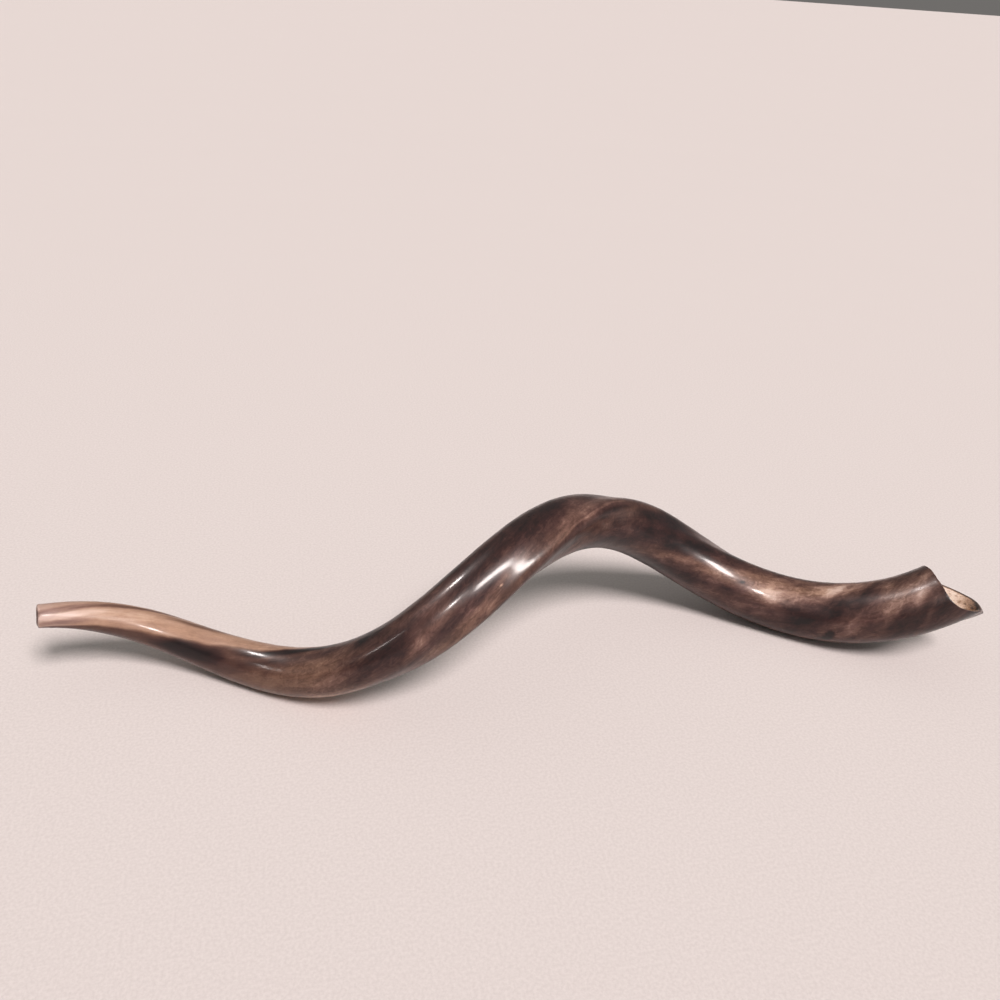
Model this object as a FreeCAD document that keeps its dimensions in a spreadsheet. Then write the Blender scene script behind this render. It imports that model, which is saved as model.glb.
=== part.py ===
import FreeCAD, Part
import math
import os

# A spiral kudu-horn shofar lying at rest on its two low coils, in millimetres.
# +X runs from the mouthpiece to the bell, +Z is up, the resting plane is Z = 0 and
# the origin is the middle of the footprint.  The horn is divided on planes square to
# its own centreline into the mouthpiece, the drilled neck, the four bends of the hollow
# body and the bell, with the pale inner layer of the bell as a part of its own.

doc = FreeCAD.newDocument("Shofar")
sheet = doc.addObject("Spreadsheet::Sheet", "Dimensions")

# Every driving value: alias, number, meaning.  Lengths in mm, angles in degrees.
DIMENSIONS = [
    ("axisLength", 852.0, "length of the straight axis the horn coils around"),
    ("axisTilt", 2.35, "rise of that axis towards the bell"),
    ("coilRadiusTip", 27.0, "distance of the centreline from the axis at the tip"),
    ("coilRadiusBell", 59.0, "distance of the centreline from the axis at the bell"),
    ("coilEase", 3.9, "how early the coil reaches its full radius"),
    ("startAngle", 30.0, "direction of the tip from the axis, 90 is up"),
    ("coilTurns", 1.603, "turns made between the tip and the end of the bell"),
    ("turnEase", 0.073, "how much tighter the turns are near the tip"),
    ("tipRadius", 10.0, "outer radius of the horn at the mouthpiece end"),
    ("bodyRadius", 25.4, "outer radius of the hollow body"),
    ("taperEase", 4.07, "how early the horn reaches its body radius"),
    ("bellFlare", 7.5, "added to the body radius at the open end"),
    ("flareEase", 6.5, "how late the flare begins"),
    ("ovality", 0.048, "share by which the section is longer one way"),
    ("ovalAngle", 148.0, "direction of the longer way, from the coil's outside"),
    ("keelRise", 0.36, "height of the keel ridge as a share of the radius"),
    ("keelEase", 0.61, "how early the keel reaches its height"),
    ("keelWear", 0.3, "share of the keel that has been ground off at the bell"),
    ("keelAngle", 70.6, "place of the keel, from the coil's outside"),
    ("keelWidth", 0.29, "spread of the keel round the section, in radians"),
    ("innerKeel", 0.45, "share of the keel that is also seen on the inside"),
    ("wall", 2.7, "thickness of the hollow wall, inner layer included"),
    ("liningThickness", 1.2, "thickness of the pale inner layer in the bell"),
    ("liningRecess", 1.5, "how far the inner layer stops short of the rim"),
    ("throatRadius", 3.5, "radius of the drilled bore behind the cup"),
    ("cupRadius", 7.4, "radius of the cup at the lips"),
    ("cupDepth", 12.0, "depth of the cup down to the drilled bore"),
    ("lipRound", 1.4, "rounding of the outer edge of the mouthpiece"),
    ("neckStart", 0.035, "station where the mouthpiece becomes the neck"),
    ("bodyStart", 0.24, "station where the neck becomes the body"),
    ("bellStart", 0.85, "station where the body becomes the bell"),
    ("hollowFull", 0.42, "station where the hollow reaches the full wall"),
    ("rimStation", 0.9563, "station of the rim on the side away from its point"),
    ("rimAngle", 55.0, "place of the rim's point, from the coil's outside"),
    ("rimOffset", 13.5, "how far behind the centreline the rim starts to rise"),
    ("rimBend", 33.5, "radius of the hollow bend where it starts to rise"),
    ("rimSlope", 41.7, "steepest slope of the rim towards its point"),
    ("rimRise", 28.9, "height of the point above the rest of the rim"),
    ("rimBlunt", 12.0, "radius that blunts the point"),
    ("trimReach", 96.0, "how far the tool that trims the rim reaches, well clear of the bell"),
    ("ringSpacing", 0.02, "greatest step between rings, as a share of the axis"),
]

for row, (alias, number, meaning) in enumerate(DIMENSIONS, start=1):
    sheet.set(f"A{row}", meaning)
    sheet.set(f"B{row}", str(number))
    sheet.setAlias(f"B{row}", alias)
doc.recompute()
D = {alias: float(sheet.get(alias)) for alias, number, meaning in DIMENSIONS}

RING_POINTS = 36
AXIS = FreeCAD.Vector(math.cos(math.radians(D["axisTilt"])), 0, math.sin(math.radians(D["axisTilt"])))
ACROSS = FreeCAD.Vector(0, 1, 0)
ABOVE = AXIS.cross(ACROSS)


def outward(t):
    """Unit vector from the axis to the centreline at station t."""
    turned = t + D["turnEase"] * t * (1 - t)
    angle = math.radians(D["startAngle"] - 360 * D["coilTurns"] * turned)
    return ACROSS * math.cos(angle) + ABOVE * math.sin(angle)


def centre(t):
    """Point of the centreline at station t, with the tip end of the axis at zero."""
    spread = D["coilRadiusBell"] - D["coilRadiusTip"]
    coil = D["coilRadiusBell"] - spread * (1 - t) ** D["coilEase"]
    return AXIS * (D["axisLength"] * t) + outward(t) * coil


def along(t):
    """Unit vector along the centreline, towards the bell."""
    step = 0.0005
    near = max(t - step, 0.0)
    far = min(t + step, 1.0)
    return (centre(far) - centre(near)).normalize()


def frame(t):
    """Centre, direction, and the two section directions: coil's outside, then sideways."""
    forward = along(t)
    side = outward(t)
    side = (side - forward * side.dot(forward)).normalize()
    return centre(t), forward, side, forward.cross(side)


def outer_radius(t):
    taper = (D["bodyRadius"] - D["tipRadius"]) * (1 - t) ** D["taperEase"]
    return D["bodyRadius"] - taper + D["bellFlare"] * t ** D["flareEase"]


def shape_factor(t, angle, keel_share):
    """How much the section stands out at an angle, compared with a circle."""
    oval = D["ovality"] * math.cos(2 * (angle - math.radians(D["ovalAngle"]))) * min(1.0, 5 * t)
    worn = 1 - D["keelWear"] * t ** D["flareEase"]
    rise = D["keelRise"] * t ** D["keelEase"] * worn * keel_share
    spread = math.cos(angle - math.radians(D["keelAngle"])) - 1
    return 1 + oval + rise * math.exp(spread / D["keelWidth"] ** 2)


def hollow_share(t):
    """Zero in the drilled neck, one where the hollow has its full wall."""
    share = (t - D["neckStart"]) / (D["hollowFull"] - D["neckStart"])
    share = min(max(share, 0.0), 1.0)
    return share * share * (3 - 2 * share)


def outer_section(t, angle):
    return outer_radius(t) * shape_factor(t, angle, 1.0)


def inner_section(t, angle, added=0.0):
    """Radius of the hollow, with an added thickness for the bed of the inner layer."""
    share = hollow_share(t)
    full = outer_radius(t) * shape_factor(t, angle, D["innerKeel"]) - D["wall"]
    return D["throatRadius"] + (full - D["throatRadius"]) * share + added


def ring(t, radius_at):
    """Closed smooth curve round the centreline at station t."""
    middle, forward, side, sideways = frame(t)
    points = []
    for k in range(RING_POINTS):
        angle = 2 * math.pi * k / RING_POINTS
        reach = radius_at(t, angle)
        points.append(middle + (side * math.cos(angle) + sideways * math.sin(angle)) * reach)
    curve = Part.BSplineCurve()
    steps = [k / RING_POINTS for k in range(RING_POINTS + 1)]
    curve.interpolate(Points=points, PeriodicFlag=True, Parameters=steps)
    return curve


def skin(name, start, end, radius_at):
    """Solid whose side is one smooth surface through the rings between two stations.

    A loft object turns its rings back to a common start point, which undoes the
    twist of the coil, so the surface is interpolated lengthwise here instead.
    """
    count = max(3, math.ceil((end - start) / D["ringSpacing"]))
    steps = [k / count for k in range(count + 1)]
    rings = [ring(start + (end - start) * step, radius_at) for step in steps]
    lines = []
    for j in range(1, rings[0].NbPoles + 1):
        line = Part.BSplineCurve()
        line.interpolate(Points=[each.getPole(j) for each in rings], Parameters=steps)
        lines.append(line)
    poles = [[line.getPole(i) for line in lines] for i in range(1, lines[0].NbPoles + 1)]
    surface = Part.BSplineSurface()
    surface.buildFromPolesMultsKnots(
        poles,
        lines[0].getMultiplicities(),
        rings[0].getMultiplicities(),
        lines[0].getKnots(),
        rings[0].getKnots(),
        False,
        True,
        lines[0].Degree,
        rings[0].Degree,
    )
    side = surface.toShape()
    caps = [Part.Face(Part.Wire([edge])) for edge in side.Edges if edge.isClosed()]
    shell = Part.Shell([side] + caps)
    shell.sewShape()
    solid = Part.Solid(shell)
    solid.fix(1e-5, 1e-5, 1e-5)
    feature = doc.addObject("Part::Feature", name)
    feature.Shape = solid
    return feature


def cut(name, base, tool):
    feature = doc.addObject("Part::Cut", name)
    feature.Base = base
    feature.Tool = tool
    return feature


def facing(point, direction):
    """Placement at a point with its own Z turned to a direction."""
    turn = FreeCAD.Rotation(FreeCAD.Vector(0, 0, 1), direction)
    return FreeCAD.Placement(point, turn)


# Mouthpiece: the solid end of the horn with a rounded lip, a cup and a drilled throat.
lip, lip_forward, lip_side, lip_sideways = frame(0.0)
drill = (centre(D["neckStart"]) - lip).normalize()
mouth_skin = skin("MouthSkin", 0.0, D["neckStart"], outer_section)

# The lip's rounding: a collar round the edge, less a torus that touches face and side.
collar = doc.addObject("Part::Cylinder", "LipCollar")
collar.setExpression("Radius", "Dimensions.tipRadius + Dimensions.lipRound")
collar.setExpression("Height", "Dimensions.lipRound")
collar.Placement = facing(lip, lip_forward)
flat = doc.addObject("Part::Cylinder", "LipFlat")
flat.setExpression("Radius", "Dimensions.tipRadius - Dimensions.lipRound")
flat.setExpression("Height", "Dimensions.lipRound")
flat.Placement = facing(lip, lip_forward)
edge = doc.addObject("Part::Torus", "LipEdge")
edge.setExpression("Radius1", "Dimensions.tipRadius - Dimensions.lipRound")
edge.setExpression("Radius2", "Dimensions.lipRound")
edge.Placement = facing(lip + lip_forward * D["lipRound"], lip_forward)
lip_cutter = cut("LipCutter", cut("LipRing", collar, flat), edge)
mouth_blank = cut("MouthBlank", mouth_skin, lip_cutter)

# The cup starts outside the lip, because the drill leans a little from the lip's own axis.
cup = doc.addObject("Part::Cone", "Cup")
cup_slope = "(Dimensions.cupRadius - Dimensions.throatRadius) / Dimensions.cupDepth"
cup.setExpression("Radius1", f"Dimensions.cupRadius + Dimensions.lipRound * {cup_slope}")
cup.setExpression("Radius2", "Dimensions.throatRadius")
cup.setExpression("Height", "Dimensions.cupDepth + Dimensions.lipRound")
cup.Placement = facing(lip - drill * D["lipRound"], drill)

throat = doc.addObject("Part::Cylinder", "Throat")
throat.setExpression("Radius", "Dimensions.throatRadius")
throat.setExpression("Height", "Dimensions.axisLength * Dimensions.neckStart * 2")
throat.Placement = facing(lip, drill)

mouthpiece = cut("Mouthpiece", cut("MouthCup", mouth_blank, cup), throat)

# Neck: still solid horn, with the drilled bore opening towards the natural hollow.
neck = cut(
    "Neck",
    skin("NeckSkin", D["neckStart"], D["bodyStart"], outer_section),
    skin("NeckBore", D["neckStart"], D["bodyStart"], inner_section),
)

# Body: the hollow coil that carries the keel, in bends of equal length along the axis.
BENDS = ["front_bend", "crest_bend", "rear_bend", "lower_bend"]
bend_length = (D["bellStart"] - D["bodyStart"]) / len(BENDS)


def bend(number):
    start = D["bodyStart"] + bend_length * number
    outside = skin(f"BendSkin{number}", start, start + bend_length, outer_section)
    inside = skin(f"BendBore{number}", start, start + bend_length, inner_section)
    return cut(f"Bend{number}", outside, inside)


bends = [(name, bend(number)) for number, name in enumerate(BENDS)]


# Bell: the flared open end, lined with the pale layer.  Its rim is flat on one side and
# runs out to a blunt point on the other, along a profile of two arcs and a slope.
def lining_bed(t, angle):
    return inner_section(t, angle, D["liningThickness"])


def rim_cutter(name, recess):
    """Everything beyond the rim's profile, which is drawn across the open end."""
    middle, forward, side, sideways = frame(D["rimStation"])
    turn = math.radians(D["rimAngle"])
    across = side * math.cos(turn) + sideways * math.sin(turn)
    slope = math.radians(D["rimSlope"])
    drop = 1 - math.cos(slope)
    straight = (D["rimRise"] - (D["rimBend"] + D["rimBlunt"]) * drop) / math.tan(slope)
    far = D["trimReach"]

    def place(ahead, up):
        return middle + across * (ahead - D["rimOffset"]) + forward * (up - recess)

    def arc_points(start, up, radius, turns):
        return [
            place(start + radius * math.sin(part), up + radius * (1 - math.cos(part)))
            for part in turns
        ]

    bend = arc_points(0, 0, D["rimBend"], (0, slope / 2, slope))
    end = D["rimBend"] * math.sin(slope) + straight + D["rimBlunt"] * math.sin(slope)
    blunt = arc_points(end, D["rimRise"], -D["rimBlunt"], (slope, slope / 2, 0))
    edges = [
        Part.makeLine(place(-far, 0), bend[0]),
        Part.Arc(*bend).toShape(),
        Part.makeLine(bend[-1], blunt[0]),
        Part.Arc(*blunt).toShape(),
        Part.makeLine(blunt[-1], place(far, D["rimRise"])),
        Part.makeLine(place(far, D["rimRise"]), place(far, far)),
        Part.makeLine(place(far, far), place(-far, far)),
        Part.makeLine(place(-far, far), place(-far, 0)),
    ]
    reach = forward.cross(across) * far
    profile = Part.Face(Part.Wire(edges))
    profile.translate(-reach)
    cutter = doc.addObject("Part::Feature", name)
    cutter.Shape = profile.extrude(reach * 2)
    return cutter


bed = skin("BellBed", D["bellStart"], 1.0, lining_bed)
bell_wall = cut("BellWall", skin("BellSkin", D["bellStart"], 1.0, outer_section), bed)
bell = cut("Bell", bell_wall, rim_cutter("RimCutter", 0.0))
layer = cut("Layer", bed, skin("BellBore", D["bellStart"], 1.0, inner_section))
lining = cut("Lining", layer, rim_cutter("LayerCutter", D["liningRecess"]))

NODES = [
    ("mouthpiece", mouthpiece),
    ("drilled_neck", neck),
    *bends,
    ("bell", bell),
    ("inner_lining", lining),
]
doc.recompute()

# Move the finished pieces so that the horn rests on Z = 0 with the origin below its middle.
box = FreeCAD.BoundBox()
for label, feature in NODES:
    box.add(feature.Shape.optimalBoundingBox())
shift = FreeCAD.Vector(-box.Center.x, -box.Center.y, -box.ZMin)
for label, feature in NODES:
    feature.Label = label
    feature.Placement = FreeCAD.Placement(shift, FreeCAD.Rotation())
doc.recompute()

for item in doc.Objects:
    if "Invalid" in item.State or "Error" in item.State:
        raise RuntimeError(f"{item.Name} did not compute")
for label, feature in NODES:
    if feature.Shape.isNull() or not feature.Shape.isValid():
        raise RuntimeError(f"{label} has no valid shape")

os.makedirs("parts", exist_ok=True)
for label, feature in NODES:
    feature.Shape.exportStep(f"parts/{label}.step")
    size = feature.Shape.optimalBoundingBox()
    print(f"{label}: {size.XLength:.1f} x {size.YLength:.1f} x {size.ZLength:.1f} mm")
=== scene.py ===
import math
import bpy
import numpy as np
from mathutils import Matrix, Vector


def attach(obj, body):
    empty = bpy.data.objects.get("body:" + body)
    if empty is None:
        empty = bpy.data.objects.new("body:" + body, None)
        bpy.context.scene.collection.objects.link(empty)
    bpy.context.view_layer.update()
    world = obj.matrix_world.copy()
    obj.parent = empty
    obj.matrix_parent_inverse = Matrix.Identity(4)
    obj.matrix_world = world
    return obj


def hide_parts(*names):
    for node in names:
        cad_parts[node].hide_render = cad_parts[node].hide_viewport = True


# A polished kudu-horn shofar.  The CAD nodes give the design; this script builds the
# same spiral again as a finer skin, with the colour and the surface of real horn.

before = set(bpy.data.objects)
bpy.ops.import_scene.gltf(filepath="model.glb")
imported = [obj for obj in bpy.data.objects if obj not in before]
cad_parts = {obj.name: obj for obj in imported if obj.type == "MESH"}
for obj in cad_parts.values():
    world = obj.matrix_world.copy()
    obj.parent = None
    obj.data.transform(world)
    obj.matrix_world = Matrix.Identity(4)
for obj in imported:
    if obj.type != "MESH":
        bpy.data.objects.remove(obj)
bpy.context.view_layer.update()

# ---------------------------------------------------------------------------
# The design's own measures: metres, degrees and plain ratios.  The values that end in
# START, and HOLLOW_FULL and RIM_STATION, are stations: shares of the coil's axis
# ---------------------------------------------------------------------------
AXIS_LENGTH = 0.852
AXIS_TILT = 2.35
COIL_RADIUS_TIP = 0.027
COIL_RADIUS_BELL = 0.059
COIL_EASE = 3.9
COIL_ANGLE = 30.0
COIL_TURNS = 1.603
TURN_EASE = 0.073
TIP_RADIUS = 0.010
BODY_RADIUS = 0.0254
TAPER_EASE = 4.07
BELL_FLARE = 0.0075
FLARE_EASE = 6.5
OVALITY = 0.048
OVAL_ANGLE = 148.0
KEEL_RISE = 0.36
KEEL_EASE = 0.61
KEEL_WEAR = 0.3
KEEL_ANGLE = 70.6
KEEL_WIDTH = 0.29
INNER_KEEL = 0.45
WALL = 0.0027
LINING_THICKNESS = 0.0012
LINING_RECESS = 0.0015
THROAT_RADIUS = 0.0035
CUP_RADIUS = 0.0074
CUP_DEPTH = 0.012
LIP_ROUND = 0.0014
NECK_START = 0.035
BODY_START = 0.24
BELL_START = 0.85
HOLLOW_FULL = 0.42
RIM_STATION = 0.9563
RIM_ANGLE = 55.0
RIM_OFFSET = 0.0135
RIM_BEND = 0.0335
RIM_SLOPE = 41.7
RIM_RISE = 0.0289
RIM_BLUNT = 0.012
BENDS = ["front_bend", "crest_bend", "rear_bend", "lower_bend"]
# Where the coil's axis begins, in the CAD model's frame.
AXIS_ORIGIN = np.array([-0.427783, 0.002631, 0.058513])

# Worn places of the rim: angle, half width in degrees, and share of the axis worn away.
RIM_WEAR = [(55.0, 15.0, 0.0026), (206.0, 18.0, 0.0018)]
# How steeply the bell's growth bands wind round it, in radians for each metre of horn.
BAND_TWIST = 30.0

# How finely the skin is divided: points round the horn, steps along it, and rows of rings.
RING = 180
OUTER_STEP = 0.0021
INNER_STEP = 0.006
LINING_STEP = 0.0008
EDGE_ROWS = 6
LIP_ROWS = 8
THROAT_ROWS = 11
CUP_ROWS = 14

# The small shapes that only the looks need, in metres; RELIEF_START, FACETED_END and
# LINING_FADE are shares of the axis, and a fullness is the power of a rounded profile.
EDGE_ROUND = 0.0007
EDGE_FULLNESS = 0.7
CUP_FULLNESS = 0.9
WAVE_HEIGHT = 0.00022
RIPPLE_HEIGHT = 0.00007
FACETS = 7
FACET_DEPTH = 0.00022
FACET_TWIST = 9.0
FACETED_END = 0.16
RELIEF_START = 0.012
LUMP_HEIGHT = 0.00020
SWELL_HEIGHT = 0.00016
LINING_SINK = 0.0001
LINING_FADE = 0.01
LINING_GAP = 0.00005

TILT = math.radians(AXIS_TILT)
AXIS = np.array([math.cos(TILT), 0.0, math.sin(TILT)])
ACROSS = np.array([0.0, 1.0, 0.0])
ABOVE = np.cross(AXIS, ACROSS)
ANGLES = np.arange(RING) * 2 * math.pi / RING


def unit(vectors):
    return vectors / np.linalg.norm(vectors, axis=-1, keepdims=True)


def dot(one, other):
    return (one * other).sum(axis=-1, keepdims=True)


# ---------------------------------------------------------------------------
# The spiral: every function takes arrays of stations t, from 0 at the lips to 1
# ---------------------------------------------------------------------------
def outward(t):
    """Unit vector from the coil's axis to the centreline."""
    turned = t + TURN_EASE * t * (1 - t)
    angle = np.radians(COIL_ANGLE - 360 * COIL_TURNS * turned)[..., None]
    return ACROSS * np.cos(angle) + ABOVE * np.sin(angle)


def centre(t):
    """Points of the horn's centreline."""
    coil = COIL_RADIUS_BELL - (COIL_RADIUS_BELL - COIL_RADIUS_TIP) * (1 - t) ** COIL_EASE
    return AXIS * (AXIS_LENGTH * t)[..., None] + outward(t) * coil[..., None]


def section(t):
    """Centre, direction and the two section directions: coil's outside, then sideways."""
    step = 0.0005
    forward = unit(centre(np.minimum(t + step, 1.0)) - centre(np.maximum(t - step, 0.0)))
    side = outward(t)
    side = unit(side - forward * dot(side, forward))
    return centre(t), forward, side, np.cross(forward, side)


def outer_radius(t):
    taper = (BODY_RADIUS - TIP_RADIUS) * (1 - t) ** TAPER_EASE
    return BODY_RADIUS - taper + BELL_FLARE * t**FLARE_EASE


def shape_factor(t, angle, keel_share):
    """How much the section stands out at an angle, compared with a circle."""
    oval = OVALITY * np.cos(2 * (angle - math.radians(OVAL_ANGLE))) * np.minimum(1.0, 5 * t)
    rise = KEEL_RISE * t**KEEL_EASE * (1 - KEEL_WEAR * t**FLARE_EASE) * keel_share
    return 1 + oval + rise * np.exp((np.cos(angle - math.radians(KEEL_ANGLE)) - 1) / KEEL_WIDTH**2)


def smooth(share):
    share = np.clip(share, 0.0, 1.0)
    return share * share * (3 - 2 * share)


def outer_section(t, angle):
    return outer_radius(t) * shape_factor(t, angle, 1.0)


def inner_section(t, angle):
    """The wall's inside: the drilled throat, which widens into the natural hollow."""
    full = outer_radius(t) * shape_factor(t, angle, INNER_KEEL) - WALL
    hollow = smooth((t - NECK_START) / (HOLLOW_FULL - NECK_START))
    return THROAT_RADIUS + (full - THROAT_RADIUS) * hollow


def bed_section(t, angle):
    """The bell's own inside, where the pale inner layer lies."""
    return inner_section(t, angle) + LINING_THICKNESS


def skin(t, angle, radius_at):
    """Points of a skin, whose radius_at gives its distance from the centreline."""
    middle, forward, side, sideways = section(t)
    direction = side * np.cos(angle)[..., None] + sideways * np.sin(angle)[..., None]
    return middle + direction * radius_at(t, angle)[..., None]


def skin_normals(t, angle, radius_at):
    """Normals of the skin, away from the centreline."""
    step = 0.0004
    along = skin(np.minimum(t + step, 1.0), angle, radius_at)
    along = along - skin(np.maximum(t - step, 0.0), angle, radius_at)
    turning = skin(t, angle + step, radius_at) - skin(t, angle - step, radius_at)
    return unit(np.cross(turning, along))


# ---------------------------------------------------------------------------
# Seeded noise, for the relief and for the layout of the stains and the painted light
# ---------------------------------------------------------------------------
NOISE_SEED = 11
LATTICE = np.random.default_rng(NOISE_SEED).random((32, 32, 32))
# Each octave reads another part of the lattice, this many cells further on.
OCTAVE_SHIFT = 7.3


def cloud(points, size, octaves):
    """Smooth noise round zero whose largest features are size metres wide."""
    total = 0.0
    for octave in range(octaves):
        scaled = points * (2**octave / size) + OCTAVE_SHIFT * octave
        cell = np.floor(scaled).astype(int)
        part = smooth(scaled - cell)
        value = 0.0
        for corner in np.ndindex(2, 2, 2):
            weight = np.prod(np.where(corner, part, 1 - part), axis=-1)
            at = (cell + corner) % len(LATTICE)
            value = value + weight * LATTICE[at[..., 0], at[..., 1], at[..., 2]]
        total = total + (2 * value - 1) / 2**octave
    return total


# Length along the centreline, at evenly spaced stations.
STATIONS = np.linspace(0.0, 1.0, 2001)
STEPS = np.linalg.norm(np.diff(centre(STATIONS), axis=0), axis=1)
ARC = np.concatenate([[0.0], np.cumsum(STEPS)])


def grain(t, angle):
    """Coordinates that follow the horn's fibres: round the section, then along the curve."""
    radius = outer_radius(t)
    length = np.interp(t, STATIONS, ARC)
    return np.stack([radius * np.cos(angle), radius * np.sin(angle), length], axis=-1)


def relief(t, angle):
    """Hand-polished unevenness: long waves, ripples, and facets that fade out up the tip."""
    fibres = grain(t, angle)
    waves = WAVE_HEIGHT * cloud(fibres * [1.0, 1.0, 0.7], size=0.034, octaves=2)
    ripples = RIPPLE_HEIGHT * cloud(fibres * [0.25, 0.25, 1.0], size=0.011, octaves=2)
    facets = -FACET_DEPTH * np.abs(np.sin(FACETS * angle / 2 + FACET_TWIST * t))
    facets = facets * (1 - smooth(t / FACETED_END))
    return (waves + ripples + facets) * smooth(t / RELIEF_START)


def worn_section(t, angle):
    """The outside as it looks: the design's section with its relief."""
    return outer_section(t, angle) + relief(t, angle)


# ---------------------------------------------------------------------------
# The rim: flat on one side, running out to a blunt point on the other
# ---------------------------------------------------------------------------
rim_middle, rim_forward, rim_side, rim_sideways = section(np.array(RIM_STATION))
RIM_TURN = math.radians(RIM_ANGLE)
HALVINGS = 40
POINT_SIDE = rim_side * math.cos(RIM_TURN) + rim_sideways * math.sin(RIM_TURN)


def rim_profile(across):
    """Height of the rim above its flat side: a hollow bend, a slope and a blunt point."""
    slope = math.radians(RIM_SLOPE)
    drop = 1 - math.cos(slope)
    start = RIM_BEND * math.sin(slope)
    run = (RIM_RISE - (RIM_BEND + RIM_BLUNT) * drop) / math.tan(slope)
    blunt = RIM_BLUNT * math.sin(slope)
    left = np.clip(start + run + blunt - across, 0.0, blunt)
    rise = RIM_BEND - np.sqrt(RIM_BEND**2 - np.clip(across, 0.0, start) ** 2)
    rise = rise + np.clip(across - start, 0.0, run) * math.tan(slope)
    return rise + np.sqrt(RIM_BLUNT**2 - left**2) - RIM_BLUNT * math.cos(slope)


def rim_wear():
    """How far handling has rounded off the rim's point and its high corner, at every angle."""
    worn = np.zeros(RING)
    for place, width, most in RIM_WEAR:
        around = (np.degrees(ANGLES) - place + 180) % 360 - 180
        worn = worn + most * np.exp(-((around / width) ** 2))
    return worn


def rim_stations(radius_at, recess):
    """Station of the rim at every angle, found by halving."""
    kept = np.full(RING, BELL_START)
    gone = np.full(RING, 1.0)
    for _ in range(HALVINGS):
        middle = (kept + gone) / 2
        reach = skin(middle, ANGLES, radius_at) - rim_middle
        height = (reach @ rim_forward) + recess
        beyond = height > rim_profile(reach @ POINT_SIDE + RIM_OFFSET)
        kept = np.where(beyond, kept, middle)
        gone = np.where(beyond, middle, gone)
    return kept - rim_wear()


def stations(start, end, step):
    """Rows of stations from start to end, which may differ at every angle."""
    start = np.broadcast_to(start, RING)
    end = np.broadcast_to(end, RING)
    count = math.ceil((end - start).max() * AXIS_LENGTH / step)
    share = np.linspace(0.0, 1.0, count + 1)[:, None]
    return start + (end - start) * share


RIM_OUTER = rim_stations(outer_section, 0.0)


# ---------------------------------------------------------------------------
# Meshes made of closed rings of points
# ---------------------------------------------------------------------------
class Rows:
    """Rings of points with their stations, in the order they are joined."""

    def __init__(self):
        self.points = []
        self.stations = []
        self.inside = []
        self.fixed = {}

    def add(self, points, t, inside=False):
        self.points.append(points)
        self.stations.append(np.broadcast_to(t, RING))
        self.inside.append(inside)

    def add_skin(self, rows, radius_at, inside=False, first=True, last=True):
        """Rows of the skin; its first and last rings keep the whole skin's normals if asked."""
        sign = -1.0 if inside else 1.0
        for number, t in enumerate(rows):
            if (first and number == 0) or (last and number == len(rows) - 1):
                self.fixed[len(self.points)] = sign * skin_normals(t, ANGLES, radius_at)
            self.add(skin(t, ANGLES, radius_at), t, inside)


def write_field(mesh, name, values):
    """A value or a vector for every point, which the materials read by its name."""
    kind = "FLOAT_VECTOR" if values.ndim == 2 else "FLOAT"
    key = "vector" if values.ndim == 2 else "value"
    field = mesh.attributes.new(name, kind, "POINT")
    field.data.foreach_set(key, values.astype(np.float32).ravel())


# How strong the mottles are on the tip, and where they begin to grow.
TIP_MOTTLE = 0.25
MOTTLE_START = 0.15


def mottling(t):
    """How strongly the fine mottles show: faintly on the tip, fully on the hollow body."""
    return TIP_MOTTLE + (1 - TIP_MOTTLE) * smooth((t - MOTTLE_START) / MOTTLE_START)


def ring_mesh(name, rows, flat_strips, paint):
    """One closed solid: each row is joined to the next, and the last to the first."""
    count = len(rows.points)
    points = np.concatenate(rows.points) + AXIS_ORIGIN
    row = np.arange(count)[:, None]
    column = np.arange(RING)[None, :]
    after = (row + 1) % count
    beside = (column + 1) % RING
    corners = [row * RING + column, row * RING + beside, after * RING + beside, after * RING + column]
    faces = np.stack(corners, axis=-1).reshape(-1, 4)
    mesh = bpy.data.meshes.new(name)
    mesh.from_pydata(points.tolist(), [], faces.tolist())
    mesh.polygons.foreach_set("use_smooth", np.ones(len(faces), bool))
    # Slot 0 has the outside's material, slot 1 the inside's.
    inner = np.repeat(np.array(rows.inside, np.int32), RING)
    mesh.polygons.foreach_set("material_index", inner)

    t = np.concatenate(rows.stations)
    angle = np.tile(ANGLES, count)
    write_field(mesh, "grain", grain(t, angle))
    depth, warmth = paint(t, angle)
    write_field(mesh, "depth", depth)
    write_field(mesh, "warmth", warmth)
    write_field(mesh, "mottle", mottling(t))

    normals = np.empty(len(points) * 3, np.float32)
    mesh.vertex_normals.foreach_get("vector", normals)
    normals = normals.reshape(-1, 3)
    for number, fixed in rows.fixed.items():
        normals[number * RING:(number + 1) * RING] = fixed
    corner_normals = normals[faces.reshape(-1)].reshape(count, RING, 4, 3)
    for strip in flat_strips:
        edges = points[faces.reshape(count, RING, 4)[strip]]
        flat = unit(np.cross(edges[:, 1] - edges[:, 0], edges[:, 3] - edges[:, 0]))
        corner_normals[strip] = flat[:, None, :]
    mesh.normals_split_custom_set(corner_normals.reshape(-1, 3).tolist())
    piece = bpy.data.objects.new(name, mesh)
    bpy.context.scene.collection.objects.link(piece)
    return piece


# ---------------------------------------------------------------------------
# Stains and painted light: where the horn is dark or pale, and where it is golden or purple
# ---------------------------------------------------------------------------
# Depth and warmth of the golden side of the tip, and what the dark flank, the hollow body
# and the lips add to them.
GOLDEN_DEPTH = 0.22
GOLDEN_WARMTH = 0.92
FLANK_DEPTH = 0.36
FLANK_WARMTH = -0.35
BODY_DEPTH = 0.50
BODY_WARMTH = -0.67
# The lips are paler partly in their own pinkish-grey tone and partly by a painted highlight.
LIP_TONE_AND_PAINTED_HIGHLIGHT = -0.09
LIP_WARMTH = -0.60
# How far outlines wander: degrees round the horn, and a share of its axis along it.
WANDER_ROUND = 9
WANDER_ALONG = 0.008
# Angles between which the tip's flank is dark, and the stations where the dark body begins.
FLANK_LINE = 174
FLANK_END = 318
DARK_START = 0.265
DARK_FADE = 0.075
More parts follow.
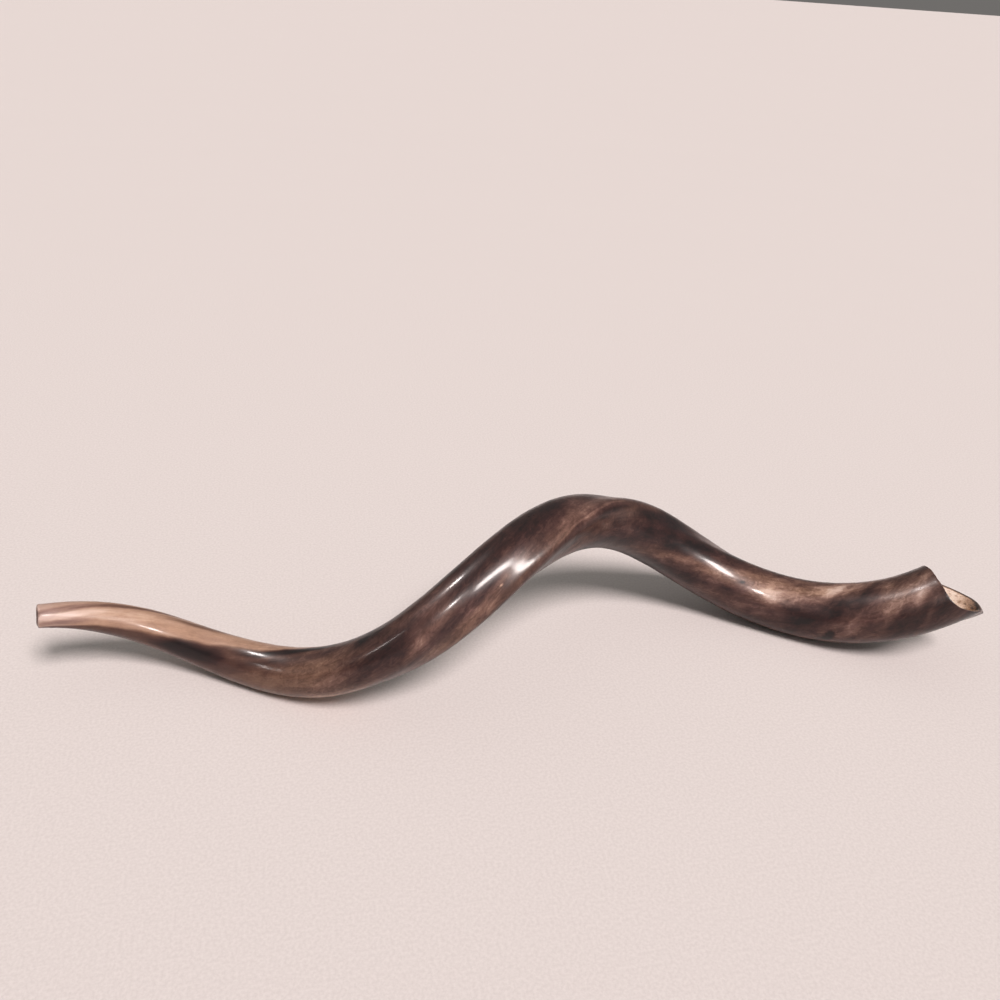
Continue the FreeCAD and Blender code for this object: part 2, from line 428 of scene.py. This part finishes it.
# Where the slantwise growth bands begin to show on the bell, and how strong they are.
BAND_START = 0.80
BAND_FADE = 0.05
BAND_DEPTH = 0.24

# Each patch is a station, an angle, half its length as a share of the axis, half its
# width in degrees, and how much it adds to the depth and to the warmth of the colour.
PATCHES = [
    # Grey, purple and pale streaks of the polished tip, and a painted highlight on it
    (0.01, 92, 0.040, 14, 0.16, -0.30),
    (0.08, 98, 0.040, 9, 0.24, -0.30),
    (0.02, 156, 0.022, 13, 0.14, -0.30),
    # Painted highlight: a paler streak where the tip catches the light.
    (0.025, 122, 0.034, 13, -0.16, -0.30),
    (0.150, 126, 0.034, 14, 0.24, -0.05),
    (0.07, 140, 0.060, 20, -0.08, 0.00),
    # Dark start of the hollow
    (0.142, 220, 0.026, 20, 0.42, -0.35),
    (0.120, 208, 0.022, 14, 0.14, -0.20),
    (0.175, 248, 0.030, 16, 0.10, -0.15),
    (0.235, 204, 0.044, 8, 0.38, -0.10),
    (0.215, 228, 0.030, 6, 0.14, 0.00),
    # Painted shade: darker along the grazing upper edge, to dim its reflection.
    (0.280, 194, 0.034, 12, 0.30, 0.00),
    (0.290, 342, 0.050, 14, 0.16, 0.00),
    (0.270, 235, 0.030, 12, 0.08, -0.25),
    # Brown belly of the front bend
    (0.26, 285, 0.090, 42, -0.10, 0.35),
    (0.335, 262, 0.024, 18, 0.18, -0.10),
    # Painted shade: darker along the grazing edge, to dim its reflection.
    (0.335, 224, 0.034, 14, 0.22, 0.00),
    (0.345, 318, 0.030, 20, 0.14, -0.10),
    (0.300, 315, 0.030, 20, 0.04, -0.20),
    # Climb to the crest: olive beside the keel, aubergine further round
    (0.395, 44, 0.075, 18, -0.17, 0.45),
    (0.41, 14, 0.040, 16, 0.08, -0.20),
    # Painted highlight: paler where the broad glint lies on the climb.
    (0.455, 22, 0.030, 20, -0.14, -0.10),
    (0.432, 40, 0.0025, 2.5, -0.60, 0.20),
    (0.380, 350, 0.028, 18, -0.10, 0.05),
    (0.46, 330, 0.050, 24, 0.10, -0.10),
    (0.50, 8, 0.034, 20, 0.16, -0.10),
    (0.535, 48, 0.060, 12, -0.16, 0.15),
    (0.47, 60, 0.050, 8, -0.08, 0.30),
    # Crest and the run down from it
    (0.565, 78, 0.032, 7, 0.20, 0.10),
    (0.56, 98, 0.060, 20, 0.02, 0.35),
    # The next three patches are painted shade: darker lower edges, where they reflect the shadowed
    # floor.
    (0.495, 94, 0.030, 14, 0.16, 0.00),
    (0.575, 152, 0.034, 20, 0.18, 0.00),
    (0.745, 122, 0.034, 14, 0.16, 0.00),
    (0.545, 64, 0.045, 2.6, -0.24, 0.15),
    (0.615, 88, 0.034, 12, -0.12, 0.35),
    (0.665, 106, 0.036, 20, 0.24, -0.20),
    (0.68, 146, 0.060, 20, 0.22, -0.10),
    (0.63, 172, 0.060, 16, -0.04, 0.25),
    # The next three patches are partly the real olive-tan band and partly painted highlight, paler
    # where the lower bend glints.
    (0.73, 185, 0.080, 15, -0.28, 0.30),
    (0.80, 176, 0.055, 20, -0.16, 0.20),
    (0.755, 206, 0.045, 12, -0.22, 0.20),
    (0.68, 215, 0.060, 20, 0.06, -0.15),
    (0.753, 199, 0.0028, 3.4, 0.60, 0.10),
    # Painted highlight: a paler streak where a second glint runs along the lower bend.
    (0.80, 238, 0.085, 34, -0.17, -0.10),
    # The low coil and the bell
    (0.832, 204, 0.016, 12, 0.14, 0.30),
    (0.865, 197, 0.036, 18, -0.38, 0.25),
    (0.875, 222, 0.020, 14, -0.12, 0.35),
    (0.855, 252, 0.015, 26, 0.16, -0.10),
    (0.892, 258, 0.016, 32, 0.18, -0.15),
    (0.935, 236, 0.030, 20, -0.20, 0.20),
    # Painted highlight: a paler spot where the bell glints near its rim.
    (0.930, 272, 0.030, 24, -0.38, -0.05),
    # Painted highlight: paler where the lower bend's glints run onto the low coil.
    (0.810, 214, 0.048, 22, -0.42, 0.20),
    (0.915, 186, 0.030, 22, -0.30, 0.10),
    (0.94, 300, 0.024, 18, 0.08, 0.00),
    (0.855, 304, 0.0030, 9, 1.30, 0.00),
]

# The inside of the bell: the depth of its colour, its dark border, and the place, length and
# width of the stain at its point, as in a patch.
RAW_DEPTH = 0.10
BORDER_WIDTH = 0.0024
BORDER_FADE = 0.0016
DARK_POINT = (0.980, 66, 0.011, 34)


def patch_share(t, degrees, station, place, length, width):
    """One at the heart of a patch, about half at its edge, and zero well outside it."""
    around = (degrees - place + 180) % 360 - 180
    reach = np.hypot((t - station) / length, around / width)
    return smooth((1.6 - reach) / 1.3)


def stains_and_painted_light(t, angle):
    """Depth of colour from 0, pale, to 1, almost black, and warmth from 0 to 1: stains, with some
    painted highlights and painted shade.
    """
    fibres = grain(t, angle)
    degrees = np.degrees(angle)
    wander = cloud(fibres * [1.0, 1.0, 0.5], size=0.026, octaves=4)
    drift = cloud(fibres * [1.0, 1.0, 0.5] + 3.1, size=0.030, octaves=4)
    mottle = cloud(fibres * [1.0, 1.0, 0.6] + 5.7, size=0.013, octaves=3)
    place = degrees + WANDER_ROUND * wander
    station = t + WANDER_ALONG * drift

    # The dark flank of the tip begins along a sharp line below the golden side.
    line = FLANK_LINE + 12 * smooth((t - 0.02) / 0.14)
    flank = smooth((place - line) / 14) * (1 - smooth((place - FLANK_END) / 30))
    hollow = smooth((station - DARK_START) / DARK_FADE)
    depth = GOLDEN_DEPTH + FLANK_DEPTH * flank * (1 - hollow) + BODY_DEPTH * hollow
    warmth = GOLDEN_WARMTH + FLANK_WARMTH * flank * (1 - hollow) + BODY_WARMTH * hollow
    # Paler lips: partly their own tone, partly a painted highlight.
    depth = depth + LIP_TONE_AND_PAINTED_HIGHLIGHT * (1 - smooth(t / 0.07))
    warmth = warmth + LIP_WARMTH * (1 - smooth(t / 0.055))
    depth = depth + (0.03 + 0.09 * hollow) * (0.8 * wander + mottle)
    warmth = warmth + 0.12 * drift

    twisted = grain(t, angle + BAND_TWIST * fibres[..., 2])
    bands = cloud(twisted * [1.0, 1.0, 0.25], size=0.017, octaves=3)
    depth = depth + BAND_DEPTH * bands * smooth((t - BAND_START) / BAND_FADE)
    for *outline, more_depth, more_warmth in PATCHES:
        share = patch_share(station, place, *outline)
        depth = depth + more_depth * share
        warmth = warmth + more_warmth * share
    return np.clip(depth, 0.0, 1.0), np.clip(warmth, 0.0, 1.0)


def inner_stains(t, angle):
    """The pale inside: brown specks, and a dark border along the rim and at its point."""
    fibres = grain(t, angle)
    degrees = np.degrees(angle)
    turns = np.arange(RING + 1) * 360 / RING
    rim = np.interp(degrees % 360, turns, np.append(RIM_OUTER, RIM_OUTER[0]))
    inset = (rim - t) * AXIS_LENGTH
    specks = smooth((cloud(fibres, size=0.0021, octaves=2) - 0.30) / 0.30)
    border = 1 - smooth((inset - BORDER_WIDTH) / BORDER_FADE)
    point = patch_share(t, degrees, *DARK_POINT)
    clouds = cloud(fibres, size=0.009, octaves=4)
    depth = RAW_DEPTH + 0.07 * clouds + 0.34 * specks + 0.55 * border + 0.55 * point
    return np.clip(depth, 0.0, 1.0), np.full_like(depth, 0.5)


# ---------------------------------------------------------------------------
# Pieces of horn, one for each CAD node
# ---------------------------------------------------------------------------
def circle(middle, side, sideways, radius):
    turn = ANGLES[:, None]
    return middle + (side * np.cos(turn) + sideways * np.sin(turn)) * radius


def mouthpiece():
    """Rounded lip, flat ring, bowl-shaped cup and drilled throat."""
    rows = Rows()
    lip, forward, side, sideways = section(np.array(0.0))
    neck_face = section(np.array(NECK_START))
    drill = unit(neck_face[0] - lip)
    drill_side = unit(side - drill * dot(side, drill))
    drill_sideways = np.cross(drill, drill_side)
    inner_lip = TIP_RADIUS - LIP_ROUND
    for share in np.linspace(0.0, 1.0, LIP_ROWS + 1)[:-1]:
        turn = share * math.pi / 2
        at = lip + forward * (LIP_ROUND * (1 - math.cos(turn)))
        rows.add(circle(at, side, sideways, inner_lip + LIP_ROUND * math.sin(turn)), 0.0)
    body = stations(LIP_ROUND / AXIS_LENGTH, NECK_START, OUTER_STEP / 2)
    rows.add_skin(body, worn_section, first=False)
    cap = len(rows.points) - 1
    rows.add_skin(np.full((1, RING), NECK_START), inner_section, inside=True)
    length = np.linalg.norm(neck_face[0] - lip)
    for depth in np.linspace(length, CUP_DEPTH, THROAT_ROWS + 1)[1:]:
        ring = circle(lip + drill * depth, drill_side, drill_sideways, THROAT_RADIUS)
        rows.add(ring, 0.0, inside=True)
    for share in np.linspace(0.0, 1.0, CUP_ROWS + 1)[1:]:
        widening = (share * (2 - share)) ** CUP_FULLNESS
        radius = THROAT_RADIUS + (CUP_RADIUS - THROAT_RADIUS) * widening
        depth = CUP_DEPTH * (1 - share)
        rows.add(circle(lip + drill * depth, drill_side, drill_sideways, radius), 0.0)
    rows.add(circle(lip, side, sideways, (CUP_RADIUS + inner_lip) / 2), 0.0)
    return ring_mesh("mouthpiece_horn", rows, [cap], stains_and_painted_light)


def stretch(name, start, end):
    """A stretch of the wall between two planes square to the centreline."""
    rows = Rows()
    rows.add_skin(stations(start, end, OUTER_STEP), worn_section)
    cap = len(rows.points) - 1
    rows.add_skin(stations(start, end, INNER_STEP)[::-1], inner_section, inside=True)
    return ring_mesh(name, rows, [cap, len(rows.points) - 1], stains_and_painted_light)


def add_edge(rows, first, last, t, rise):
    """A rounded edge of the wall, from the ring first to the ring last."""
    middle = (first + last) / 2
    half = (first - last) / 2
    tip = rise * EDGE_ROUND
    for share in np.linspace(0.0, 1.0, EDGE_ROWS + 2)[1:-1]:
        turn = share * math.pi
        level = math.copysign(abs(math.cos(turn)) ** EDGE_FULLNESS, math.cos(turn))
        rows.add(middle + half * level + tip * math.sin(turn) ** EDGE_FULLNESS, t)


def growing_way(t):
    """Direction of growth along the bell's inside, at every angle's own station."""
    step = 0.002
    return unit(skin(t, ANGLES, bed_section) - skin(t - step, ANGLES, bed_section))


def bell():
    """The flared end, whose rim is rounded and worn back a little, unevenly."""
    rows = Rows()
    back = EDGE_ROUND / AXIS_LENGTH
    around = np.stack([np.cos(ANGLES), np.sin(ANGLES), 0 * ANGLES], axis=-1)
    worn = 0.5 * np.minimum(back * cloud(around, size=0.25, octaves=2), 0.0)
    outer_end = RIM_OUTER - back + worn
    rows.add_skin(stations(BELL_START, outer_end, OUTER_STEP), worn_section, last=False)
    bed_end = rim_stations(bed_section, 0.0) - back + worn
    inner_ring = skin(bed_end, ANGLES, bed_section)
    add_edge(rows, rows.points[-1], inner_ring, outer_end, growing_way(outer_end))
    rows.add_skin(stations(BELL_START, bed_end, INNER_STEP)[::-1], bed_section, inside=True)
    return ring_mesh("bell_horn", rows, [len(rows.points) - 1], stains_and_painted_light)


def rough_section(t, angle):
    """The inner layer's own inside, with the grain of unpolished horn as real relief."""
    fibres = grain(t, angle)
    lumps = LUMP_HEIGHT * cloud(fibres, size=0.0036, octaves=3)
    swells = SWELL_HEIGHT * cloud(fibres * [1, 1, 0.5], size=0.008, octaves=2)
    fade = smooth((t - BELL_START) / LINING_FADE)
    return inner_section(t, angle) + (lumps + swells - LINING_SINK) * fade


def seat_section(t, angle):
    """The inner layer's outside, a hair clear of the bell."""
    return bed_section(t, angle) - LINING_GAP


def lining():
    """The pale inner layer of the bell."""
    rows = Rows()
    seat = rim_stations(bed_section, LINING_RECESS)
    inner_end = rim_stations(inner_section, LINING_RECESS)
    inner_ring = skin(inner_end, ANGLES, rough_section)
    rows.add_skin(stations(BELL_START, seat, INNER_STEP), seat_section, last=False)
    add_edge(rows, rows.points[-1], inner_ring, seat, growing_way(seat))
    rows.add_skin(stations(BELL_START, inner_end, LINING_STEP)[::-1], rough_section, inside=True)
    return ring_mesh("bell_inner_layer", rows, [len(rows.points) - 1], inner_stains)


# ---------------------------------------------------------------------------
# Materials
# ---------------------------------------------------------------------------
class Nodes:
    """Short calls for building a material's nodes."""

    # The colour sockets of a Mix node, which has others of the same names.
    FIRST_COLOUR = 6
    SECOND_COLOUR = 7

    def __init__(self, name):
        self.material = bpy.data.materials.new(name)
        self.material.use_nodes = True
        self.tree = self.material.node_tree
        self.shader = self.tree.nodes["Principled BSDF"]

    def add(self, kind, **settings):
        node = self.tree.nodes.new(kind)
        for key, value in settings.items():
            setattr(node, key, value)
        return node

    def link(self, source, target):
        self.tree.links.new(source, target)

    def field(self, name):
        node = self.add("ShaderNodeAttribute", attribute_name=name)
        return node.outputs["Vector"] if name == "grain" else node.outputs["Fac"]

    def stretched(self, vector, scale):
        node = self.add("ShaderNodeVectorMath", operation="MULTIPLY")
        self.link(vector, node.inputs[0])
        node.inputs[1].default_value = scale
        return node.outputs[0]

    def noise(self, vector, scale, detail, roughness, distortion=0.0):
        node = self.add("ShaderNodeTexNoise")
        self.link(vector, node.inputs["Vector"])
        node.inputs["Scale"].default_value = scale
        node.inputs["Detail"].default_value = detail
        node.inputs["Roughness"].default_value = roughness
        node.inputs["Distortion"].default_value = distortion
        return node.outputs["Fac"]

    def math(self, operation, one, other):
        node = self.add("ShaderNodeMath", operation=operation)
        for socket, value in zip(node.inputs, (one, other)):
            if isinstance(value, (int, float)):
                socket.default_value = value
            else:
                self.link(value, socket)
        return node.outputs[0]

    def vary(self, base, fac, amount):
        """base plus amount times a noise that is moved to lie round zero."""
        centred = self.math("SUBTRACT", fac, 0.5)
        return self.math("ADD", base, self.math("MULTIPLY", centred, amount))

    def ramp(self, fac, stops):
        node = self.add("ShaderNodeValToRGB")
        self.link(fac, node.inputs["Fac"])
        elements = node.color_ramp.elements
        while len(elements) < len(stops):
            elements.new(0.5)
        for element, (place, colour) in zip(elements, stops):
            element.position = place
            element.color = (*colour, 1.0)
        return node.outputs["Color"]

    def mix(self, fac, one, other):
        node = self.add("ShaderNodeMix", data_type="RGBA")
        self.link(fac, node.inputs[0])
        self.link(one, node.inputs[self.FIRST_COLOUR])
        self.link(other, node.inputs[self.SECOND_COLOUR])
        return next(out for out in node.outputs if out.type == "RGBA")

    def bump(self, height, distance, strength):
        node = self.add("ShaderNodeBump")
        self.link(height, node.inputs["Height"])
        node.inputs["Distance"].default_value = distance
        node.inputs["Strength"].default_value = strength
        self.link(node.outputs["Normal"], self.shader.inputs["Normal"])

    def set(self, name, value):
        socket = self.shader.inputs[name]
        if isinstance(value, (int, float, tuple)):
            socket.default_value = value
        else:
            self.link(value, socket)


def polished_horn():
    """The outside: ramps from pale to almost black, one golden and one purple, mixed by warmth."""
    n = Nodes("polished_horn")
    fibres = n.field("grain")
    streaks = n.noise(
        n.stretched(fibres, (1.0, 1.0, 0.10)), scale=420.0, detail=5.0, roughness=0.6, distortion=0.6)
    mottles = n.noise(
        n.stretched(fibres, (1.0, 1.0, 0.45)), scale=110.0, detail=5.0, roughness=0.6, distortion=0.8)
    hairs = n.noise(
        n.stretched(fibres, (1.0, 1.0, 0.05)), scale=1900.0, detail=3.0, roughness=0.5)
    clouds = n.noise(
        n.stretched(fibres, (1.0, 1.0, 0.7)), scale=210.0, detail=6.0, roughness=0.65, distortion=1.2)
    depth = n.vary(n.field("depth"), streaks, amount=0.24)
    depth = n.vary(depth, mottles, amount=n.math("MULTIPLY", n.field("mottle"), 0.52))
    depth = n.vary(depth, clouds, amount=n.math("MULTIPLY", n.field("mottle"), 0.50))
    depth = n.vary(depth, hairs, amount=0.08)
    golden = n.ramp(depth, [
        (0.0, (0.700, 0.500, 0.385)),
        (0.2, (0.440, 0.268, 0.188)),
        (0.4, (0.200, 0.109, 0.073)),
        (0.6, (0.092, 0.045, 0.032)),
        (0.8, (0.041, 0.019, 0.015)),
        (1.0, (0.014, 0.008, 0.007)),
    ])
    purple = n.ramp(depth, [
        (0.0, (0.630, 0.460, 0.410)),
        (0.2, (0.350, 0.222, 0.192)),
        (0.4, (0.162, 0.086, 0.075)),
        (0.6, (0.078, 0.037, 0.033)),
        (0.8, (0.035, 0.015, 0.015)),
        (1.0, (0.013, 0.008, 0.009)),
    ])
    hues = n.noise(
        n.stretched(fibres, (1.0, 1.0, 0.5)), scale=75.0, detail=5.0, roughness=0.6, distortion=0.6)
    warmth = n.vary(n.field("warmth"), hues, amount=0.9)
    clamp = n.add("ShaderNodeClamp")
    n.link(warmth, clamp.inputs["Value"])
    n.set("Base Color", n.mix(clamp.outputs[0], purple, golden))
    smears = n.noise(fibres, scale=60.0, detail=4.0, roughness=0.6)
    n.set("Roughness", n.vary(n.vary(0.36, smears, amount=0.30), clouds, amount=0.20))
    n.set("Specular IOR Level", 0.18)
    n.set("Coat Weight", 0.3)
    n.set("Coat Roughness", 0.15)
    scratches = n.vary(n.vary(0.0, streaks, amount=0.6), hairs, amount=0.4)
    n.bump(scratches, distance=0.0002, strength=0.6)
    return n.material


def raw_horn():
    """The inside: pale and granular, with the same fields."""
    n = Nodes("raw_horn")
    fibres = n.field("grain")
    grains = n.noise(fibres, scale=900.0, detail=5.0, roughness=0.7)
    patches = n.noise(
        n.stretched(fibres, (1.0, 1.0, 0.4)), scale=190.0, detail=5.0, roughness=0.65, distortion=0.5)
    depth = n.vary(n.vary(n.field("depth"), patches, amount=0.40), grains, amount=0.90)
    n.set("Base Color", n.ramp(depth, [
        (0.0, (0.90, 0.74, 0.63)),
        (0.25, (0.70, 0.50, 0.38)),
        (0.5, (0.36, 0.20, 0.115)),
        (0.8, (0.10, 0.050, 0.030)),
        (1.0, (0.03, 0.018, 0.014)),
    ]))
    n.set("Roughness", n.vary(0.40, grains, amount=0.6))
    n.set("IOR", 1.54)
    n.bump(grains, distance=0.0008, strength=0.8)
    return n.material


def worktop():
    """The plain pale floor, faintly speckled and quite matt, so that no lamp shows in it."""
    n = Nodes("pale_floor")
    coordinates = n.add("ShaderNodeTexCoord")
    speckle = n.noise(coordinates.outputs["Object"], scale=420.0, detail=3.0, roughness=0.6)
    n.set("Base Color", n.ramp(speckle, [
        (0.35, (0.68, 0.622, 0.613)),
        (0.65, (0.75, 0.692, 0.683)),
    ]))
    n.set("Roughness", 0.9)
    n.set("Specular IOR Level", 0.0)
    return n.material


# ---------------------------------------------------------------------------
# The pieces
# ---------------------------------------------------------------------------
HORN = polished_horn()
RAW = raw_horn()


def set_in_frame(piece, node, materials):
    """Give a piece its materials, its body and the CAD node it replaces."""
    for material in materials:
        piece.data.materials.append(material)
    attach(piece, "root")
    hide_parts(node)


set_in_frame(mouthpiece(), "mouthpiece", [HORN, RAW])
neck = stretch("drilled_neck_horn", NECK_START, BODY_START)
set_in_frame(neck, "drilled_neck", [HORN, RAW])
bend_length = (BELL_START - BODY_START) / len(BENDS)
for number, node in enumerate(BENDS):
    start = BODY_START + bend_length * number
    bend = stretch(node + "_horn", start, start + bend_length)
    set_in_frame(bend, node, [HORN, RAW])
set_in_frame(bell(), "bell", [HORN, RAW])
set_in_frame(lining(), "inner_lining", [RAW, RAW])

# ---------------------------------------------------------------------------
# Floor, light and camera
# ---------------------------------------------------------------------------
FLOOR_HALF = 120.0
LAMP_DISTANCE = 3.5
WARM = (1.0, 0.92, 0.89)
HORIZON = (0.16, 0.152, 0.145, 1.0)
ZENITH = (0.33, 0.33, 0.31, 1.0)
# Where the photo was taken from, in metres, how the camera was turned, in degrees, and its
# focal length in millimetres.
CAMERA_PLACE = (-0.21205, -0.6489, 0.56114)
CAMERA_TURNS = (60.0, -3.6, -12.58)
CAMERA_LENS = 32.74

floor_mesh = bpy.data.meshes.new("floor")
corners = [(-FLOOR_HALF, -FLOOR_HALF, 0), (FLOOR_HALF, -FLOOR_HALF, 0)]
corners += [(FLOOR_HALF, FLOOR_HALF, 0), (-FLOOR_HALF, FLOOR_HALF, 0)]
floor_mesh.from_pydata(corners, [], [(0, 1, 2, 3)])
floor = bpy.data.objects.new("floor", floor_mesh)
bpy.context.scene.collection.objects.link(floor)
floor.data.materials.append(worktop())


def towards(azimuth, elevation):
    """Direction to a lamp; azimuth 0 is in front, 90 is at the bell's end."""
    turn = math.radians(azimuth)
    lift = math.radians(elevation)
    level = math.cos(lift)
    return Vector((math.sin(turn) * level, -math.cos(turn) * level, math.sin(lift)))


def glint(name, azimuth, elevation, width, height, power):
    """A flat lamp that faces the horn and is seen only as a reflection in its polish."""
    lamp = bpy.data.lights.new(name, "AREA")
    lamp.shape = "RECTANGLE"
    lamp.size = width
    lamp.size_y = height
    lamp.energy = power
    lamp.color = WARM
    holder = bpy.data.objects.new(name, lamp)
    holder.location = towards(azimuth, elevation) * LAMP_DISTANCE
    holder.rotation_euler = towards(azimuth, elevation).to_track_quat("Z", "Y").to_euler()
    holder.visible_diffuse = False
    bpy.context.scene.collection.objects.link(holder)


glint("window", azimuth=-8, elevation=38, width=0.34, height=0.34, power=62)
glint("panel", azimuth=32, elevation=36, width=1.4, height=0.7, power=230)
glint("left_strip", azimuth=-76, elevation=30, width=0.10, height=0.50, power=8)
glint("bell_spot", azimuth=-116, elevation=57, width=0.40, height=0.40, power=75)

# The key gives the shade and the soft shadow; the glints above give the reflections.
key = bpy.data.lights.new("key", "SUN")
key.energy = 3.2
key.angle = math.radians(19)
key.color = WARM
key_holder = bpy.data.objects.new("key", key)
key_holder.rotation_euler = towards(azimuth=22, elevation=56).to_track_quat("Z", "Y").to_euler()
key_holder.visible_glossy = False
bpy.context.scene.collection.objects.link(key_holder)

world = bpy.data.worlds.new("studio")
world.use_nodes = True
sky = world.node_tree
direction = sky.nodes.new("ShaderNodeTexCoord")
parts = sky.nodes.new("ShaderNodeSeparateXYZ")
gradient = sky.nodes.new("ShaderNodeValToRGB")
gradient.color_ramp.elements[0].color = HORIZON
gradient.color_ramp.elements[1].color = ZENITH
sky.links.new(direction.outputs["Generated"], parts.inputs[0])
sky.links.new(parts.outputs["Z"], gradient.inputs["Fac"])
sky.links.new(gradient.outputs["Color"], sky.nodes["Background"].inputs["Color"])
bpy.context.scene.world = world
bpy.context.scene.view_settings.view_transform = "Standard"

camera = bpy.data.cameras.new("camera")
camera.lens = CAMERA_LENS
camera.clip_start = 0.01
camera.clip_end = 500.0
camera_holder = bpy.data.objects.new("camera", camera)
camera_holder.location = CAMERA_PLACE
camera_holder.rotation_euler = [math.radians(turn) for turn in CAMERA_TURNS]
bpy.context.scene.collection.objects.link(camera_holder)
bpy.context.scene.camera = camera_holder
